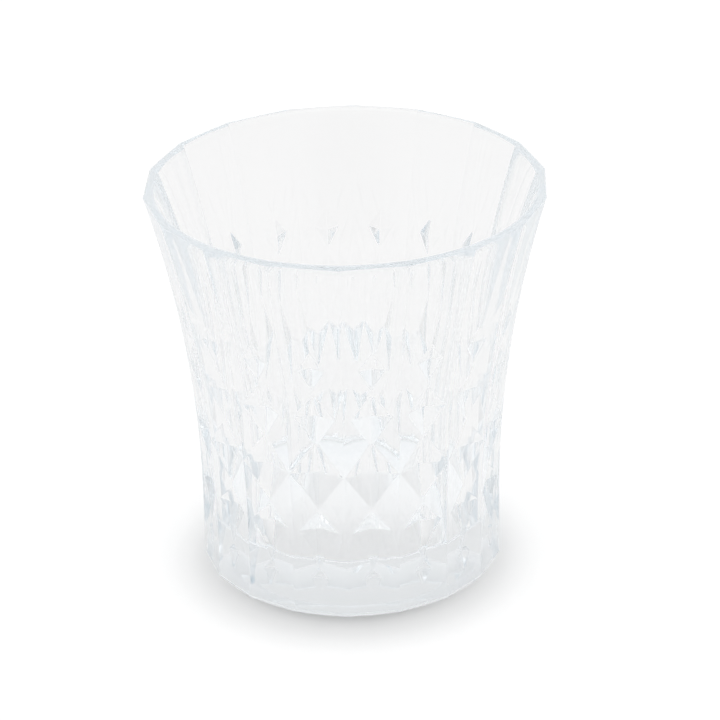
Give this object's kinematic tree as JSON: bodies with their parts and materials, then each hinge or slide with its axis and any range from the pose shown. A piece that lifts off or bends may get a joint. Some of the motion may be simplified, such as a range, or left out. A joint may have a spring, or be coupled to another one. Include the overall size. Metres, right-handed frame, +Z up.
{
  "type": "whiskey tumbler",
  "caption": "Short clear glass tumbler with a thick foot, a smooth round bowl and a panelled wall that flares to the rim and carries rows of V-cut diamonds.",
  "frame": {"origin": "centre of the foot, on the surface that the glass stands on", "axes": "+Z up along the axis of the bowl, -Y towards one corner ridge of the outside, +X across two panels"},
  "size_m": [0.0888, 0.0902, 0.092],
  "materials": {
    "clear_glass": "clear fire-polished glass with a faint blue-green tint where it is thick"
  },
  "bodies": {
    "root": {"glass_body": "clear_glass"}
  },
  "joints": []
}
